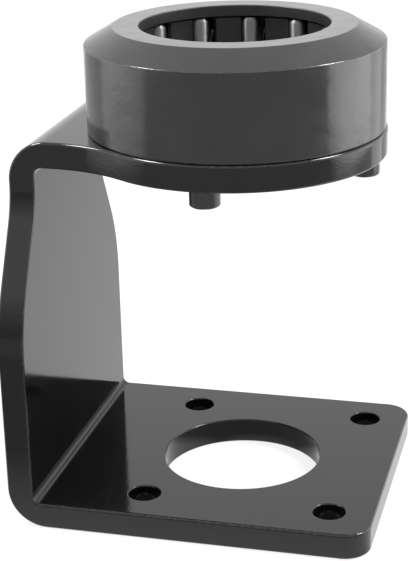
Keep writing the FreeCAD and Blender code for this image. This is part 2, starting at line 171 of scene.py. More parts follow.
class PlateMesh:
    """Collects the bent plate's corners, their true normals and how near each is to an edge."""

    def __init__(self):
        self.corners, self.normals, self.edge, self.faces = [], [], [], []

    def corner(self, run, across, depth, along_share, side_share, out_share, edge):
        (x, z), along, out = plate_place(run, depth)
        self.corners.append(Vector((x, across, z)) * MM)
        self.normals.append(Vector((
            along_share * along[0] + out_share * out[0],
            side_share,
            along_share * along[1] + out_share * out[1],
        )).normalized())
        self.edge.append(edge)
        return len(self.corners) - 1

    def rim(self, outline, rounding, steps):
        """The wall along an outline, rounded into both faces; gives the loops it ends in."""
        tilts = [(-90 + 90 * step / steps, rounding) for step in range(steps + 1)]
        tilts += [(90 * step / steps, PLATE - rounding) for step in range(steps + 1)]
        rows = []
        for tilt, depth in tilts:
            turn = math.radians(tilt)
            inset = rounding * (1 - math.cos(turn))
            level = depth + rounding * math.sin(turn)
            # Share of the painted edge highlight, partly wear: it peaks halfway round the rounding.
            highlight_and_wear_share = 1 - abs(abs(tilt) - 45) / 45
            rows.append([
                self.corner(run - inset * along, across - inset * side, level,
                            math.cos(turn) * along, math.cos(turn) * side, math.sin(turn), highlight_and_wear_share)
                for run, across, along, side in outline
            ])
        count = len(outline)
        for lower, upper in zip(rows, rows[1:]):
            for i in range(count):
                following = (i + 1) % count
                self.faces.append((lower[i], upper[i], upper[following], lower[following]))
        flat = [(run - rounding * along, across - rounding * side)
                for run, across, along, side in outline]
        return flat, rows[0], rows[-1]

    def panel(self, loops, near_row, far_row):
        """Fills one flat panel, holes left open, on the inner and on the outer face."""
        points, near, far, edges = [], [], [], []
        for loop in loops:
            first = len(points)
            points += [Vector(place) for place, inner, outer in loop]
            near += [inner for place, inner, outer in loop]
            far += [outer for place, inner, outer in loop]
            edges += [(first + i, first + (i + 1) % len(loop)) for i in range(len(loop))]
        hole_of = [k for k, loop in enumerate(loops) for point in loop]
        _, _, triangles, origins, _, _ = delaunay_2d_cdt(points, edges, [], 1, 1e-7)
        for triangle in triangles:
            a, b, c = (origins[i][0] for i in triangle)
            if hole_of[a] and hole_of[a] == hole_of[b] == hole_of[c]:
                continue
            turning = (points[b] - points[a]).cross(points[c] - points[a])
            if turning < 0:
                b, c = c, b
            self.faces.append((far[a], far[b], far[c]))
            self.faces.append((near[a], near[c], near[b]))


plate = PlateMesh()
outline_flat, outline_near, outline_far = plate.rim(plate_outline(), EDGE_ROUND, 5)
outline_loop = list(zip(outline_flat, outline_near, outline_far))
base_holes = [plate_hole(0, 0, BASE_BORE, steps=120)]
base_holes += [plate_hole(x, y, BOLT_HOLE, steps=56) for x in BOLT_ROWS for y in BOLT_SIDES]
disc_holes = [plate_hole(0, 0, FLANGE_BORE, steps=120, on_disc=True)]
disc_holes += [plate_hole(x * SCREW_CIRCLE, y * SCREW_CIRCLE, SCREW_HOLE, steps=40, on_disc=True)
               for x, y in ((1, 0), (0, 1), (-1, 0), (0, -1))]


def between(start, stop):
    """The part of the outline from one run to another, as one closed loop."""
    return [point for point in outline_loop if start - 1e-6 <= point[0][0] <= stop + 1e-6]


panels = (
    (0.0, WEB_START - BEND_RUN, base_holes),
    (WEB_START, WEB_END, []),
    (DISC_START, DISC_START - BEND_LINE + DISC_RADIUS, disc_holes),
)
for start, stop, holes in panels:
    loops = [between(start, stop)]
    for hole in holes:
        loops.append(list(zip(*plate.rim(hole, HOLE_ROUND, 4))))
    plate.panel(loops, outline_near, outline_far)
for start in (WEB_START - BEND_RUN, WEB_END):
    sides = between(start, start + BEND_RUN)
    left, right = sides[:BEND_STEPS + 1], sides[:BEND_STEPS:-1]
    for i in range(BEND_STEPS):
        (_, a_near, a_far), (_, b_near, b_far) = left[i], left[i + 1]
        (_, c_near, c_far), (_, d_near, d_far) = right[i + 1], right[i]
        plate.faces.append((a_far, d_far, c_far, b_far))
        plate.faces.append((a_near, b_near, c_near, d_near))


def finished_mesh(name, corners, faces, normals=None, edge=None):
    """A smooth-shaded mesh, with its true normals and its edge mask where they are given."""
    mesh = bpy.data.meshes.new(name)
    mesh.from_pydata(corners, [], faces)
    mesh.shade_smooth()
    if edge is not None:
        mesh.attributes.new("edge", "FLOAT", "POINT").data.foreach_set("value", edge)
    if normals is not None:
        mesh.normals_split_custom_set_from_vertices(normals)
    mesh.validate()
    return mesh


def new_piece(name, mesh):
    piece = bpy.data.objects.new(name, mesh)
    bpy.context.scene.collection.objects.link(piece)
    return piece


bracket = new_piece("bent_bracket", finished_mesh(
    "bent_bracket", plate.corners, plate.faces, plate.normals, plate.edge))


def put(tree, kind, inputs=None, **settings):
    """Adds a node to a tree; an input is given as a value or as the socket that feeds it."""
    node = tree.nodes.new(kind)
    for name, value in settings.items():
        setattr(node, name, value)
    for name, value in (inputs or {}).items():
        socket = node.inputs[name]
        if isinstance(value, bpy.types.NodeSocket):
            tree.links.new(value, socket)
        else:
            socket.default_value = value
    return node


def maths(tree, operation, a, b=0.0, clamp=False):
    """The result socket of a Math node."""
    node = put(tree, "ShaderNodeMath", {0: a, 1: b}, operation=operation, use_clamp=clamp)
    return node.outputs[0]


def scaled(tree, value, factor, plus):
    """The result socket of value times factor, plus another value."""
    node = put(tree, "ShaderNodeMath", {0: value, 1: factor, 2: plus}, operation="MULTIPLY_ADD")
    return node.outputs[0]


def new_group(name, kind, inputs, outputs):
    """A node group with named sockets: (name, type, default) in, (name, type) out."""
    group = bpy.data.node_groups.new(name, kind)
    for label, socket, default in inputs:
        made = group.interface.new_socket(label, in_out="INPUT", socket_type=socket)
        if default is not None:
            made.default_value = default
    for label, socket in outputs:
        group.interface.new_socket(label, in_out="OUTPUT", socket_type=socket)
    entry = group.nodes.new("NodeGroupInput")
    leave = group.nodes.new("NodeGroupOutput")
    return group, entry.outputs, leave.inputs


FLOAT, VECTOR = "NodeSocketFloat", "NodeSocketVector"

# Soft unevenness of a finish, from broad clouds and a finer grain, about zero.
clouds, given, result = new_group(
    "uneven_finish", "ShaderNodeTree",
    [("Size", FLOAT, 0.02), ("Grain", FLOAT, 0.001), ("Stretch", VECTOR, (1, 1, 1))],
    [("Clouds", FLOAT), ("Grain", FLOAT)])
place = put(clouds, "ShaderNodeTexCoord").outputs["Object"]
stretched = put(clouds, "ShaderNodeVectorMath", {0: place, 1: given["Stretch"]},
                operation="MULTIPLY").outputs[0]
for label, detail in (("Size", 3.0), ("Grain", 2.0)):
    scale = maths(clouds, "DIVIDE", 1.0, given[label])
    noise = put(clouds, "ShaderNodeTexNoise",
                {"Vector": stretched, "Scale": scale, "Detail": detail})
    output = "Clouds" if label == "Size" else "Grain"
    clouds.links.new(maths(clouds, "SUBTRACT", noise.outputs["Fac"], 0.5), result[output])

# Hairline handling marks, thin and broken up, as a mask from 0 to 1.
hairlines, given, result = new_group(
    "hairlines", "ShaderNodeTree",
    [("Spacing", FLOAT, 0.012), ("Width", FLOAT, 0.02)], [("Mask", FLOAT)])
place = put(hairlines, "ShaderNodeTexCoord").outputs["Object"]
masks = []
for turn, seed in ((0.5, 3.1), (2.1, 7.7)):
    turned = put(hairlines, "ShaderNodeMapping",
                 {"Vector": place, "Rotation": (turn, 0.7 * turn, turn), "Scale": (1, 0.12, 1),
                  "Location": (seed, 0, seed)})
    scale = maths(hairlines, "DIVIDE", 1.0, given["Spacing"])
    noise = put(hairlines, "ShaderNodeTexNoise",
                {"Vector": turned.outputs[0], "Scale": scale, "Detail": 1.0, "Distortion": 0.3})
    offset = maths(hairlines, "SUBTRACT", noise.outputs["Fac"], 0.5)
    away = maths(hairlines, "ABSOLUTE", offset)
    near = maths(hairlines, "DIVIDE", away, given["Width"])
    masks.append(maths(hairlines, "SUBTRACT", 1.0, near, clamp=True))
both = maths(hairlines, "MAXIMUM", masks[0], masks[1])
patches = put(hairlines, "ShaderNodeTexNoise", {"Vector": place, "Scale": 90.0, "Detail": 1.0})
broken = put(hairlines, "ShaderNodeMapRange",
             {"Value": patches.outputs["Fac"], "From Min": 0.52, "From Max": 0.62})
hairlines.links.new(maths(hairlines, "MULTIPLY", both, broken.outputs[0]), result["Mask"])

# Lighter colour along rounded edges: a painted edge highlight, partly also wear of a thinner coating;
# a broken mask from the piece's own edge attribute.
painted_edge_highlight_and_wear, given, result = new_group(
    "painted_edge_highlight_and_wear", "ShaderNodeTree", [("Amount", FLOAT, 0.5), ("Size", FLOAT, 0.002)],
    [("Mask", FLOAT)])
near_edge = put(painted_edge_highlight_and_wear, "ShaderNodeAttribute", attribute_name="edge").outputs["Fac"]
place = put(painted_edge_highlight_and_wear, "ShaderNodeTexCoord").outputs["Object"]
scale = maths(painted_edge_highlight_and_wear, "DIVIDE", 1.0, given["Size"])
noise = put(painted_edge_highlight_and_wear, "ShaderNodeTexNoise", {"Vector": place, "Scale": scale, "Detail": 4.0})
spots = put(painted_edge_highlight_and_wear, "ShaderNodeMapRange",
            {"Value": noise.outputs["Fac"], "From Min": 0.42, "From Max": 0.68})
edge_share = maths(painted_edge_highlight_and_wear, "MULTIPLY", near_edge, spots.outputs[0])
painted_edge_highlight_and_wear.links.new(maths(painted_edge_highlight_and_wear, "MULTIPLY", edge_share, given["Amount"]), result["Mask"])


def new_material(name):
    """An empty node material: its tree, and its Principled shader."""
    material = bpy.data.materials.new(name)
    material.use_nodes = True
    shader = material.node_tree.nodes["Principled BSDF"]
    return material, material.node_tree, shader


def place_group(tree, group, inputs=None):
    """Places a node group, then sets or links its inputs."""
    node = tree.nodes.new("ShaderNodeGroup" if tree.type == "SHADER" else "GeometryNodeGroup")
    node.node_tree = group
    for name, value in (inputs or {}).items():
        if isinstance(value, bpy.types.NodeSocket):
            tree.links.new(value, node.inputs[name])
        else:
            node.inputs[name].default_value = value
    return node


def mixed(tree, share, a, b):
    """A colour between a and b."""
    node = put(tree, "ShaderNodeMix", {"Factor": share}, data_type="RGBA")
    for socket, value in ((node.inputs[6], a), (node.inputs[7], b)):
        if isinstance(value, bpy.types.NodeSocket):
            tree.links.new(value, socket)
        else:
            socket.default_value = value
    return node.outputs[2]


def raised(tree, height, distance, strength=1.0, normal=None):
    """The normal that a height gives, with its full height in metres."""
    inputs = {"Height": height, "Distance": distance, "Strength": strength}
    if normal is not None:
        inputs["Normal"] = normal
    return put(tree, "ShaderNodeBump", inputs).outputs[0]


coating, tree, shader = new_material("gloss_black_coating")
uneven = place_group(tree, clouds, {"Size": 0.03, "Grain": 0.0011})
marks = place_group(tree, hairlines, {"Spacing": 0.010, "Width": 0.018})
edges = place_group(tree, painted_edge_highlight_and_wear, {"Amount": 0.6, "Size": 0.0015})
tone = scaled(tree, uneven.outputs["Clouds"], 0.5, 0.5)
body = mixed(tree, tone, (0.0022, 0.0022, 0.0024, 1), (0.0042, 0.0042, 0.0045, 1))
# Painted edge highlight, partly wear of the coating: the colour lightens in broken spots along
# rounded edges.
colour = mixed(tree, edges.outputs["Mask"], body, (0.05, 0.047, 0.043, 1))
tree.links.new(colour, shader.inputs["Base Color"])
rough = scaled(tree, uneven.outputs["Clouds"], 0.05, 0.085)
marked = scaled(tree, marks.outputs["Mask"], 0.05, rough)
tree.links.new(marked, shader.inputs["Roughness"])
peel = raised(tree, uneven.outputs["Grain"], 0.000012)
tree.links.new(raised(tree, marks.outputs["Mask"], -0.000001, 1.0, peel), shader.inputs["Normal"])
shader.inputs["IOR"].default_value = 1.55
bracket.data.materials.append(coating)
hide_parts("bracket")
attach(bracket, "frame")

# The housing.
# A turned steel ring with a bevelled top, blackened and oiled. Its lip stands over the cage,
# and twelve sloping ramps are cut inside it, one behind each roller.

HEAD_RADIUS = 50.0
HEAD_FOOT = 131.0
HEAD_TOP = 165.5
HOUSING_INSIDE = 37.1
LIP_RADIUS = 31.6
LIP_UNDERSIDE = 161.7
CROWN_WIDTH = 9.6
CROWN_HEIGHT = 5.55
TURNING_STEPS = 192
ROUGH_LIP = 31.9            # inside these radii, the lip and the bore are left rough
ROUGH_BORE = 34.5
ROLLERS = 12
ROLLER_CENTRE = 34.85
FIRST_ROLLER = math.radians(4.5)
RAMP = math.radians(12)
SLOT_HALF = 3.6
SLOT_END = 5.0
SOFT_EDGE = math.radians(28)  # an edge that turns by less shades smooth


def round_profile(corners, steps=4, support=0.12):
    """A closed turning profile with rounded corners: (radius, height, rounding) in, points out.

    Each rounding is backed by a near point on its two sides, so that flats shade flat.
    """
    points = []
    count = len(corners)
    for i, (r, z, rounding) in enumerate(corners):
        here = Vector((r, z))
        back = (Vector(corners[i - 1][:2]) - here).normalized()
        ahead = (Vector(corners[(i + 1) % count][:2]) - here).normalized()
        if rounding == 0:
            points.append((here, 0.0))
            continue
        opening = math.acos(max(-1.0, min(1.0, back.dot(ahead))))
        reach = rounding / math.tan(opening / 2)
        centre = here + (back + ahead).normalized() * rounding / math.sin(opening / 2)
        first, last = here + back * reach - centre, here + ahead * reach - centre
        swing = first.angle_signed(last)
        points.append((here + back * (reach + support), 0.0))
        for step in range(steps + 1):
            spoke = first.copy()
            spoke.rotate(Matrix.Rotation(-swing * step / steps, 2))
            # The second value is the painted edge highlight's share, partly wear: it peaks halfway
            # round the rounding.
            points.append((centre + spoke, 1 - abs(2 * step / steps - 1)))
        points.append((here + ahead * (reach + support), 0.0))
    return points


def turned_mesh(name, profile, steps=TURNING_STEPS):
    """Turns a closed profile about Z; points on the axis become a single one."""
    corners, edge, rows, faces = [], [], [], []
    # Each point carries its share of the painted edge highlight, partly wear, into the edge
    # attribute.
    for (r, z), highlight_and_wear_share in profile:
        on_axis = r < 1e-6
        first = len(corners)
        for step in range(1 if on_axis else steps):
            angle = 2 * math.pi * step / steps
            corners.append((r * MM * math.cos(angle), r * MM * math.sin(angle), z * MM))
            edge.append(highlight_and_wear_share)
        rows.append([first] * steps if on_axis else list(range(first, first + steps)))
    for lower, upper in zip(rows, rows[1:] + rows[:1]):
        for i in range(steps):
            j = (i + 1) % steps
            face = []
            for corner in (lower[i], lower[j], upper[j], upper[i]):
                if corner not in face:
                    face.append(corner)
            if len(face) > 2:
                faces.append(face)
    return finished_mesh(name, corners, faces, edge=edge)


housing_profile = round_profile([
    (HOUSING_INSIDE, HEAD_FOOT, 0),
    (HEAD_RADIUS, HEAD_FOOT, 0.6),
    (HEAD_RADIUS, HEAD_TOP - CROWN_HEIGHT, 0.5),
    (HEAD_RADIUS - CROWN_WIDTH, HEAD_TOP, 0.5),
    (LIP_RADIUS, HEAD_TOP, 0.4),
    (LIP_RADIUS, LIP_UNDERSIDE, 0.2),
    (HOUSING_INSIDE, LIP_UNDERSIDE, 0),
])
housing_ring = new_piece("roller_housing", turned_mesh("roller_housing", housing_profile))


def station_turn(tree, number, count, first=0.0):
    """The rotation that brings a part to its own one of count places round the axis."""
    pitch = maths(tree, "DIVIDE", 2 * math.pi, count)
    around = maths(tree, "MULTIPLY", number, pitch)
    around = maths(tree, "ADD", around, first)
    return put(tree, "ShaderNodeCombineXYZ", {"Z": around}).outputs[0]


def soften(tree, geometry):
    """Smooth shading, but for the sharp edges that a cut leaves."""
    bend = put(tree, "GeometryNodeInputMeshEdgeAngle").outputs[0]
    soft = maths(tree, "LESS_THAN", bend, SOFT_EDGE)
    node = put(tree, "GeometryNodeSetShadeSmooth",
               {"Geometry": geometry, "Shade Smooth": soft}, domain="EDGE")
    return node.outputs[0]


# Cuts the rollers' slots into a ring: a half round seat, straight on to the spring's wall.
GEOMETRY, WHOLE, MATERIAL = "NodeSocketGeometry", "NodeSocketInt", "NodeSocketMaterial"
slotting, given, result = new_group(
    "roller_slots", "GeometryNodeTree",
    [("Ring", GEOMETRY, None), ("Slots", WHOLE, ROLLERS), ("First Angle", FLOAT, FIRST_ROLLER),
     ("Centre Radius", FLOAT, ROLLER_CENTRE * MM), ("Half Width", FLOAT, SLOT_HALF * MM),
     ("Spring Wall", FLOAT, SLOT_END * MM), ("Ramp", FLOAT, RAMP),
     ("Floor", FLOAT, HEAD_FOOT * MM), ("Depth", FLOAT, 0.03), ("Finish", MATERIAL, None)],
    [("Ring", GEOMETRY)])
slotting.is_modifier = True
breadth = maths(slotting, "MULTIPLY", given["Half Width"], 2.0)
length = maths(slotting, "ADD", given["Half Width"], given["Spring Wall"])
box = put(slotting, "GeometryNodeCurvePrimitiveQuadrilateral",
          {"Width": length, "Height": breadth}, mode="RECTANGLE")
shift = maths(slotting, "SUBTRACT", given["Spring Wall"], given["Half Width"])
shift = maths(slotting, "MULTIPLY", shift, 0.5)
offset = put(slotting, "ShaderNodeCombineXYZ", {"X": shift}).outputs[0]
moved = put(slotting, "GeometryNodeSetPosition", {"Geometry": box.outputs[0], "Offset": offset})
where = put(slotting, "GeometryNodeInputPosition").outputs[0]
left = put(slotting, "ShaderNodeSeparateXYZ", {0: where}).outputs["X"]
at_seat = maths(slotting, "LESS_THAN", left, 0.0)
fillet = maths(slotting, "MULTIPLY", given["Half Width"], at_seat)
fillet = maths(slotting, "MULTIPLY", fillet, 0.9999)  # so that the two fillets don't quite meet
seat = put(slotting, "GeometryNodeFilletCurve",
           {"Curve": moved.outputs[0], "Count": 20, "Radius": fillet}, mode="POLY")
lid = put(slotting, "GeometryNodeFillCurve", {"Curve": seat.outputs[0]}, mode="NGONS")
walls = put(slotting, "GeometryNodeExtrudeMesh",
            {"Mesh": lid.outputs[0], "Offset": (0, 0, 1), "Offset Scale": given["Depth"],
             "Individual": False})
under = put(slotting, "GeometryNodeFlipFaces", {"Mesh": lid.outputs[0]})
shell = put(slotting, "GeometryNodeJoinGeometry")
slotting.links.new(walls.outputs[0], shell.inputs[0])
slotting.links.new(under.outputs[0], shell.inputs[0])
cutter = put(slotting, "GeometryNodeMergeByDistance",
             {"Geometry": shell.outputs[0], "Distance": 1e-6})
start = put(slotting, "ShaderNodeCombineXYZ", {"X": given["Centre Radius"], "Z": given["Floor"]})
stations = put(slotting, "GeometryNodePoints",
               {"Count": given["Slots"], "Position": start.outputs[0]})
lean = maths(slotting, "SUBTRACT", given["Ramp"], math.pi / 2)
lean = put(slotting, "ShaderNodeCombineXYZ", {"Z": lean}).outputs[0]
cutters = put(slotting, "GeometryNodeInstanceOnPoints",
              {"Points": stations.outputs[0], "Instance": cutter.outputs[0], "Rotation": lean})
number = put(slotting, "GeometryNodeInputIndex").outputs[0]
around = station_turn(slotting, number, given["Slots"], given["First Angle"])
spread = put(slotting, "GeometryNodeRotateInstances",
             {"Instances": cutters.outputs[0], "Rotation": around, "Local Space": False})
cut = put(slotting, "GeometryNodeMeshBoolean",
          {"Mesh 1": given["Ring"], "Mesh 2": spread.outputs[0]},
          operation="DIFFERENCE", solver="MANIFOLD")
real = put(slotting, "GeometryNodeRealizeInstances", {"Geometry": cut.outputs["Mesh"]})
finish = put(slotting, "GeometryNodeSetMaterial",
             {"Geometry": soften(slotting, real.outputs[0]), "Material": given["Finish"]})
slotting.links.new(finish.outputs[0], result["Ring"])


def apply_tree(piece, group, values):
    """Runs a geometry tree on a piece and keeps the result as its plain mesh."""
    modifier = piece.modifiers.new(group.name, "NODES")
    modifier.node_group = group
    sockets = {item.name: item.identifier for item in group.interface.items_tree
               if item.in_out == "INPUT"}
    for name, value in values.items():
        modifier[sockets[name]] = value
    ready = piece.evaluated_get(bpy.context.evaluated_depsgraph_get())
    mesh = bpy.data.meshes.new_from_object(ready)
    mesh.name = piece.name
    mesh.materials.clear()
    mesh.materials.append(values["Finish"])
    piece.modifiers.remove(modifier)
    piece.data = mesh


oxide, tree, shader = new_material("blackened_steel")
uneven = place_group(tree, clouds, {"Size": 0.012, "Grain": 0.0005, "Stretch": (1, 1, 1.4)})
edges = place_group(tree, painted_edge_highlight_and_wear, {"Amount": 0.7, "Size": 0.0012})
marks = place_group(tree, hairlines, {"Spacing": 0.008, "Width": 0.02})
place = put(tree, "ShaderNodeTexCoord").outputs["Object"]
x, y, z = put(tree, "ShaderNodeSeparateXYZ", {0: place}).outputs
flat = put(tree, "ShaderNodeCombineXYZ", {"X": x, "Y": y}).outputs[0]
radius = put(tree, "ShaderNodeVectorMath", {0: flat}, operation="LENGTH").outputs["Value"]
lathe_place = put(tree, "ShaderNodeCombineXYZ", {"X": radius, "Y": z}).outputs[0]
grooves = put(tree, "ShaderNodeTexNoise",
              {"Vector": lathe_place, "Scale": 5200.0, "Detail": 2.0}).outputs["Fac"]
tone = scaled(tree, uneven.outputs["Clouds"], 0.8, 0.5)
body = mixed(tree, tone, (0.004, 0.004, 0.0042, 1), (0.016, 0.0155, 0.0155, 1))
# Painted light: the housing's flat top face gets a lighter colour, standing in for the light that
# falls on it from above.
painted_light_on_top = maths(tree, "GREATER_THAN", z, (HEAD_TOP - 0.05) * MM)
body = mixed(tree, maths(tree, "MULTIPLY", painted_light_on_top, 0.6), body, (0.16, 0.158, 0.155, 1))
# Painted edge highlight, partly wear of the oxide: the colour lightens in broken spots along rounded
# edges.
colour = mixed(tree, edges.outputs["Mask"], body, (0.09, 0.085, 0.08, 1))
tree.links.new(colour, shader.inputs["Base Color"])
rough = scaled(tree, uneven.outputs["Clouds"], 0.16, 0.17)
marked = scaled(tree, marks.outputs["Mask"], 0.06, rough)
in_head = maths(tree, "LESS_THAN", z, (LIP_UNDERSIDE - 0.1) * MM)
bored = maths(tree, "LESS_THAN", radius, ROUGH_BORE * MM)
bored = maths(tree, "MULTIPLY", bored, in_head)
on_lip = maths(tree, "LESS_THAN", radius, ROUGH_LIP * MM)
bored = maths(tree, "ADD", bored, on_lip, clamp=True)
bored = scaled(tree, bored, 0.25, marked)
tree.links.new(bored, shader.inputs["Roughness"])
wavy = raised(tree, uneven.outputs["Clouds"], 0.00022)
tree.links.new(raised(tree, grooves, 0.0000012, 1.0, wavy), shader.inputs["Normal"])
shader.inputs["IOR"].default_value = 1.75

apply_tree(housing_ring, slotting, {
    "Floor": (HEAD_FOOT - 1.0) * MM, "Depth": (LIP_UNDERSIDE - HEAD_FOOT + 1.0) * MM,
    "Finish": oxide})
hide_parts("housing")
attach(housing_ring, "frame")

# The roller cage.
# A thin ring of blackened steel that stands on the flange inside the housing. Its twelve slots
# are open at the top and keep the rollers apart.

CAGE_INSIDE = 33.2
CAGE_TOP = 161.2
CAGE_FLOOR = 133.9
CAGE_BEVEL = 0.6
cage_profile = round_profile([
    (CAGE_INSIDE, HEAD_FOOT, 0.2),
    (HOUSING_INSIDE, HEAD_FOOT, 0),
    (HOUSING_INSIDE, CAGE_TOP, 0.3),
    (CAGE_INSIDE + CAGE_BEVEL, CAGE_TOP, 0.15),
    (CAGE_INSIDE, CAGE_TOP - CAGE_BEVEL, 0.15),
])
cage = new_piece("slotted_cage", turned_mesh("slotted_cage", cage_profile))
apply_tree(cage, slotting, {
    "Floor": CAGE_FLOOR * MM, "Depth": (CAGE_TOP - CAGE_FLOOR + 1.0) * MM, "Finish": oxide})
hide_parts("roller_cage")
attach(cage, "frame")

# The rollers.
# Hardened steel pins, ground and polished, with bevelled ends. Each rides on its own body and
# backs away along its ramp when the collar goes in.

ROLLER_RADIUS = 3.5
ROLLER_FOOT = 134.0
ROLLER_LENGTH = 27.0
ROLLER_BEVEL = 0.8
roller_profile = round_profile([
    (0.0, 0.0, 0),
    (ROLLER_RADIUS - ROLLER_BEVEL, 0.0, 0.15),
    (ROLLER_RADIUS, ROLLER_BEVEL, 0.3),
    (ROLLER_RADIUS, ROLLER_LENGTH - ROLLER_BEVEL, 0.3),
    (ROLLER_RADIUS - ROLLER_BEVEL, ROLLER_LENGTH, 0.15),
    (0.0, ROLLER_LENGTH, 0),
])
roller_turning = turned_mesh("roller_turning", roller_profile, steps=64)

placing, given, result = new_group(
    "place_at_slot", "GeometryNodeTree",
    [("Part", GEOMETRY, None), ("Number", WHOLE, 0), ("Slots", WHOLE, ROLLERS),
     ("First Angle", FLOAT, FIRST_ROLLER), ("Centre Radius", FLOAT, ROLLER_CENTRE * MM),
     ("Ramp", FLOAT, RAMP), ("Foot", FLOAT, ROLLER_FOOT * MM), ("Finish", MATERIAL, None)],
    [("Part", GEOMETRY)])
placing.is_modifier = True
lean = maths(placing, "SUBTRACT", given["Ramp"], math.pi / 2)
lean = put(placing, "ShaderNodeCombineXYZ", {"Z": lean}).outputs[0]
reach = put(placing, "ShaderNodeCombineXYZ", {"X": given["Centre Radius"], "Z": given["Foot"]})
leaning = put(placing, "GeometryNodeTransform",
              {"Geometry": given["Part"], "Translation": reach.outputs[0], "Rotation": lean})
around = station_turn(placing, given["Number"], given["Slots"], given["First Angle"])
placed = put(placing, "GeometryNodeTransform",
             {"Geometry": leaning.outputs[0], "Rotation": around})
real = put(placing, "GeometryNodeRealizeInstances", {"Geometry": placed.outputs[0]})
finish = put(placing, "GeometryNodeSetMaterial",
             {"Geometry": real.outputs[0], "Material": given["Finish"]})
placing.links.new(finish.outputs[0], result["Part"])

polished, tree, shader = new_material("polished_roller_steel")
uneven = place_group(tree, clouds, {"Size": 0.006, "Grain": 0.0004, "Stretch": (1, 1, 0.3)})
marks = place_group(tree, hairlines, {"Spacing": 0.004, "Width": 0.03})
tone = scaled(tree, uneven.outputs["Clouds"], 0.8, 0.5)
colour = mixed(tree, tone, (0.26, 0.26, 0.265, 1), (0.36, 0.357, 0.352, 1))
tree.links.new(colour, shader.inputs["Base Color"])
rough = scaled(tree, uneven.outputs["Grain"], 0.08, 0.5)
marked = scaled(tree, marks.outputs["Mask"], 0.08, rough)
tree.links.new(marked, shader.inputs["Roughness"])
shader.inputs["Metallic"].default_value = 1.0
shader.inputs["Anisotropic"].default_value = 0.95
tree.links.new(put(tree, "ShaderNodeCombineXYZ", {"Z": 1.0}).outputs[0], shader.inputs["Tangent"])
for number in range(ROLLERS):
    label = f"{number + 1:02d}"
    roller = new_piece(f"steel_roller_{label}", roller_turning.copy())
    apply_tree(roller, placing, {"Number": number, "Finish": polished})
    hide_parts(f"roller_{label}")
    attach(roller, f"roller_{label}_body")
bpy.data.meshes.remove(roller_turning)

# The springs.
# Bowed leaves of spring steel, one between each slot's wall and its roller. They press the
# rollers up their ramps; in the real head they flatten as the rollers back away.

SPRING_SPAN = 18.0
SPRING_LEAF = 0.3
SPRING_WIDTH = 2.4
SPRING_STEPS = 20
spring_rise = SLOT_END - SPRING_LEAF - SLOT_HALF
bow_radius = (SPRING_SPAN ** 2 / 4 + spring_rise ** 2) / (2 * spring_rise)
bow_swing = math.asin(SPRING_SPAN / 2 / bow_radius)
leaf_corners, leaf_faces = [], []
for step in range(SPRING_STEPS + 1):
    angle = bow_swing * (2 * step / SPRING_STEPS - 1)
    for radius, side in ((bow_radius, -1), (bow_radius, 1),
                         (bow_radius - SPRING_LEAF, 1), (bow_radius - SPRING_LEAF, -1)):
        leaf_corners.append(Vector((
            SLOT_HALF + bow_radius - radius * math.cos(angle),
            side * SPRING_WIDTH / 2,
            ROLLER_LENGTH / 2 + radius * math.sin(angle))) * MM)
for step in range(SPRING_STEPS):
    for side in range(4):
        a, b = 4 * step + side, 4 * step + (side + 1) % 4
        leaf_faces.append((a, a + 4, b + 4, b))
leaf_faces.append((0, 1, 2, 3))
leaf_faces.append(tuple(4 * SPRING_STEPS + side for side in (3, 2, 1, 0)))
leaf = finished_mesh("spring_leaf", leaf_corners, leaf_faces)

spring_steel, tree, shader = new_material("blued_spring_steel")
uneven = place_group(tree, clouds, {"Size": 0.004, "Grain": 0.0003, "Stretch": (1, 1, 0.2)})
tone = scaled(tree, uneven.outputs["Clouds"], 0.8, 0.5)
colour = mixed(tree, tone, (0.20, 0.20, 0.22, 1), (0.30, 0.29, 0.29, 1))
tree.links.new(colour, shader.inputs["Base Color"])
rough = scaled(tree, uneven.outputs["Grain"], 0.1, 0.3)
tree.links.new(rough, shader.inputs["Roughness"])
shader.inputs["Metallic"].default_value = 1.0
for number in range(ROLLERS):
    label = f"{number + 1:02d}"
    spring = new_piece(f"leaf_spring_{label}", leaf.copy())
    apply_tree(spring, placing, {"Number": number, "Finish": spring_steel})
    turn = FIRST_ROLLER + 2 * math.pi * number / ROLLERS
    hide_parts(f"roller_spring_{label}")
    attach(spring, "frame")
    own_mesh(spring)
bpy.data.meshes.remove(leaf)

# The cap screws.
# Four socket head screws of blackened steel, put in from under the flange and threaded into
# the housing.

SCREWS = 4
SCREW_SEAT = 122.0
HEAD_HALF = 5.0
HEAD_HEIGHT = 6.0
SHANK_HALF = 3.0
SHANK_LENGTH = 20.0
SOCKET_FLATS = 5.0
SOCKET_DEPTH = 3.0
SCREW_BEVEL = 0.5
screw_profile = round_profile([
    (0.0, -HEAD_HEIGHT, 0),
    (HEAD_HALF - SCREW_BEVEL, -HEAD_HEIGHT, 0.2),
    (HEAD_HALF, SCREW_BEVEL - HEAD_HEIGHT, 0.3),
    (HEAD_HALF, 0.0, 0.2),
    (SHANK_HALF, 0.0, 0),
    (SHANK_HALF, SHANK_LENGTH - SCREW_BEVEL, 0.1),
    (SHANK_HALF - SCREW_BEVEL, SHANK_LENGTH, 0.1),
    (0.0, SHANK_LENGTH, 0),
])
screws = new_piece("cap_screws", turned_mesh("cap_screws", screw_profile, steps=64))

